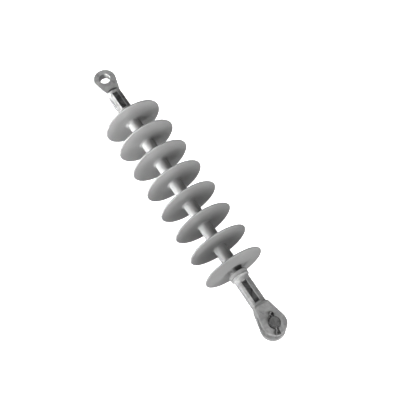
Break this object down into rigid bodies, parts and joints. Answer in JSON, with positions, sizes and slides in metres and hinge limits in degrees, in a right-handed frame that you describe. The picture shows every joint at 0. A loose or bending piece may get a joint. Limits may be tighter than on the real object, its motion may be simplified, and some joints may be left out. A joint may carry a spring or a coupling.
{
  "type": "composite dead-end insulator",
  "caption": "Long-rod insulator with thin round silicone sheds on a glass-fibre rod, crimped steel tongue and clevis end fittings, clevis pin and cotter key.",
  "frame": {"origin": "centre of the bounding box, on the rod's axis half way along the overall length", "axes": "+X along the rod from the tongue to the clevis, +Z square to the flat faces of tongue and clevis"},
  "size_m": [0.532, 0.0976, 0.0976],
  "materials": {
    "silicone": "satin moulded grey silicone",
    "glass_fibre": "resin-bonded glass fibre",
    "galvanised_steel": "hot-dip galvanised, dull and mottled",
    "stainless_steel": "bright drawn wire"
  },
  "bodies": {
    "insulator": {"core_rod": "glass_fibre", "sheath": "silicone", "shed_1": "silicone", "shed_2": "silicone", "shed_3": "silicone", "shed_4": "silicone", "shed_5": "silicone", "shed_6": "silicone", "shed_7": "silicone", "shed_8": "silicone", "tongue_end_seal": "silicone", "clevis_end_seal": "silicone", "tongue_fitting": "galvanised_steel", "clevis_fitting": "galvanised_steel"},
    "pin": {"clevis_pin": "galvanised_steel"},
    "key": {"cotter_key": "stainless_steel"}
  },
  "joints": [
    {"name": "pin_turn", "type": "hinge", "parent": "insulator", "child": "pin", "pos_m": [0.247, 0, 0], "axis": [0, 0, 1], "continuous": true},
    {"name": "key_slide", "type": "slide", "parent": "pin", "child": "key", "axis": [-0.9659, 0.2588, 0], "range_m": [-0.001, 0.001]}
  ]
}
